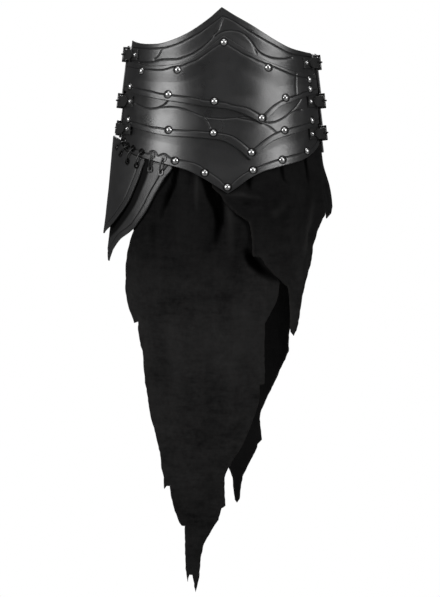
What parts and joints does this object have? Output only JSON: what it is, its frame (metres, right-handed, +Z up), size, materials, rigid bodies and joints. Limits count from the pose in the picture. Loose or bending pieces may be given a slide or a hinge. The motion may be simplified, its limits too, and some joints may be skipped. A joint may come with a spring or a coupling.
{
  "type": "waist armour",
  "caption": "Riveted leather waist armour of overlapping bands with laced hip flaps, side straps and buckles, and a long ragged suede skirt of hanging panels",
  "frame": {"origin": "centre of the waist opening, level with the middle of the sides of the belt", "axes": "+Z up, the front faces -Y, the wearer's left is +X"},
  "size_m": [0.3823, 0.274, 0.9505],
  "materials": {
    "belt_leather": "satin black dyed leather",
    "flap_leather": "satin black dyed leather",
    "strap_leather": "black strap leather",
    "suede": "matt black suede",
    "rivet_steel": "polished domed steel",
    "buckle_steel": "nickelled steel wire",
    "eyelet_nickel": "dark nickel",
    "lace_cord": "round black leather lace"
  },
  "bodies": {
    "belt": {"top_band": "belt_leather", "upper_plate": "belt_leather", "middle_band": "belt_leather", "lower_band": "belt_leather", "back_upper_band": "belt_leather", "back_middle_band": "belt_leather", "back_lower_band": "belt_leather", "front_panel": "suede", "hip_panel": "suede", "rear_panel": "suede", "rivets_crest_row": "rivet_steel", "rivets_upper_row": "rivet_steel", "rivets_middle_row": "rivet_steel", "rivets_lower_row": "rivet_steel", "rivets_back": "rivet_steel", "rivets_strap_ends": "rivet_steel", "rivets_chapes": "rivet_steel", "eyelets_band": "eyelet_nickel", "lace_side": "lace_cord", "lace_front": "lace_cord", "strap_left_top": "strap_leather", "chape_left_top": "strap_leather", "buckle_left_top": "buckle_steel", "strap_left_middle": "strap_leather", "chape_left_middle": "strap_leather", "buckle_left_middle": "buckle_steel", "strap_left_low": "strap_leather", "chape_left_low": "strap_leather", "buckle_left_low": "buckle_steel", "strap_right_top": "strap_leather", "chape_right_top": "strap_leather", "buckle_right_top": "buckle_steel", "strap_right_middle": "strap_leather", "chape_right_middle": "strap_leather", "buckle_right_middle": "buckle_steel", "strap_right_low": "strap_leather", "chape_right_low": "strap_leather", "buckle_right_low": "buckle_steel"},
    "left_top_prong": {"prong_left_top": "buckle_steel"},
    "left_middle_prong": {"prong_left_middle": "buckle_steel"},
    "left_low_prong": {"prong_left_low": "buckle_steel"},
    "right_top_prong": {"prong_right_top": "buckle_steel"},
    "right_middle_prong": {"prong_right_middle": "buckle_steel"},
    "right_low_prong": {"prong_right_low": "buckle_steel"},
    "side_flap": {"tasset_side": "flap_leather", "eyelets_tasset_side": "eyelet_nickel"},
    "front_flap": {"tasset_front": "flap_leather", "eyelets_tasset_front": "eyelet_nickel"},
    "front_tail": {"front_panel_tail": "suede"},
    "hip_tail": {"hip_panel_tail": "suede"},
    "rear_tail": {"rear_panel_tail": "suede"}
  },
  "joints": [
    {"name": "left_top_prong_turn", "type": "hinge", "parent": "belt", "child": "left_top_prong", "pos_m": [0.15428, -0.02759, 0.0575], "axis": [0.1154, -0.0372, -0.9926], "range_deg": [0, 95]},
    {"name": "left_middle_prong_turn", "type": "hinge", "parent": "belt", "child": "left_middle_prong", "pos_m": [0.16187, -0.0289, -0.005], "axis": [0.1154, -0.0372, -0.9926], "range_deg": [0, 95]},
    {"name": "left_low_prong_turn", "type": "hinge", "parent": "belt", "child": "left_low_prong", "pos_m": [0.16485, -0.02919, -0.0575], "axis": [0.1152, -0.0375, -0.9926], "range_deg": [0, 95]},
    {"name": "right_top_prong_turn", "type": "hinge", "parent": "belt", "child": "right_top_prong", "pos_m": [-0.1527, -0.02731, 0.0705], "axis": [0.1154, 0.0372, 0.9926], "range_deg": [0, 95]},
    {"name": "right_middle_prong_turn", "type": "hinge", "parent": "belt", "child": "right_middle_prong", "pos_m": [-0.16187, -0.0289, -0.005], "axis": [0.1154, 0.0372, 0.9926], "range_deg": [0, 95]},
    {"name": "right_low_prong_turn", "type": "hinge", "parent": "belt", "child": "right_low_prong", "pos_m": [-0.16727, -0.02983, -0.0494], "axis": [0.1153, 0.0373, 0.9926], "range_deg": [0, 95]},
    {"name": "front_flap_swing", "type": "hinge", "parent": "belt", "child": "front_flap", "pos_m": [-0.10105, -0.10151, -0.10174], "axis": [-0.7988, 0.5734, 0.1823], "range_deg": [0, 50], "deforming": ["lace_front"]},
    {"name": "side_flap_swing", "type": "hinge", "parent": "belt", "child": "side_flap", "pos_m": [-0.16481, -0.04097, -0.07273], "axis": [-0.5854, 0.7627, 0.2749], "range_deg": [0, 62.5], "deforming": ["lace_side"]},
    {"name": "front_tail_swing", "type": "hinge", "parent": "belt", "child": "front_tail", "pos_m": [-0.0353, -0.13349, -0.41], "axis": [-0.9907, 0.1361, 0], "range_deg": [0, 50]},
    {"name": "hip_tail_swing", "type": "hinge", "parent": "belt", "child": "hip_tail", "pos_m": [0.11762, -0.10961, -0.262], "axis": [-0.8707, -0.4918, 0], "range_deg": [0, 50]},
    {"name": "rear_tail_swing", "type": "hinge", "parent": "belt", "child": "rear_tail", "pos_m": [-0.0104, 0.1381, -0.41], "axis": [1, 0, 0], "range_deg": [0, 50]}
  ],
  "couplings": [
    {"joint": "side_flap_swing", "follows": "front_flap_swing", "ratio": 1.25}
  ]
}
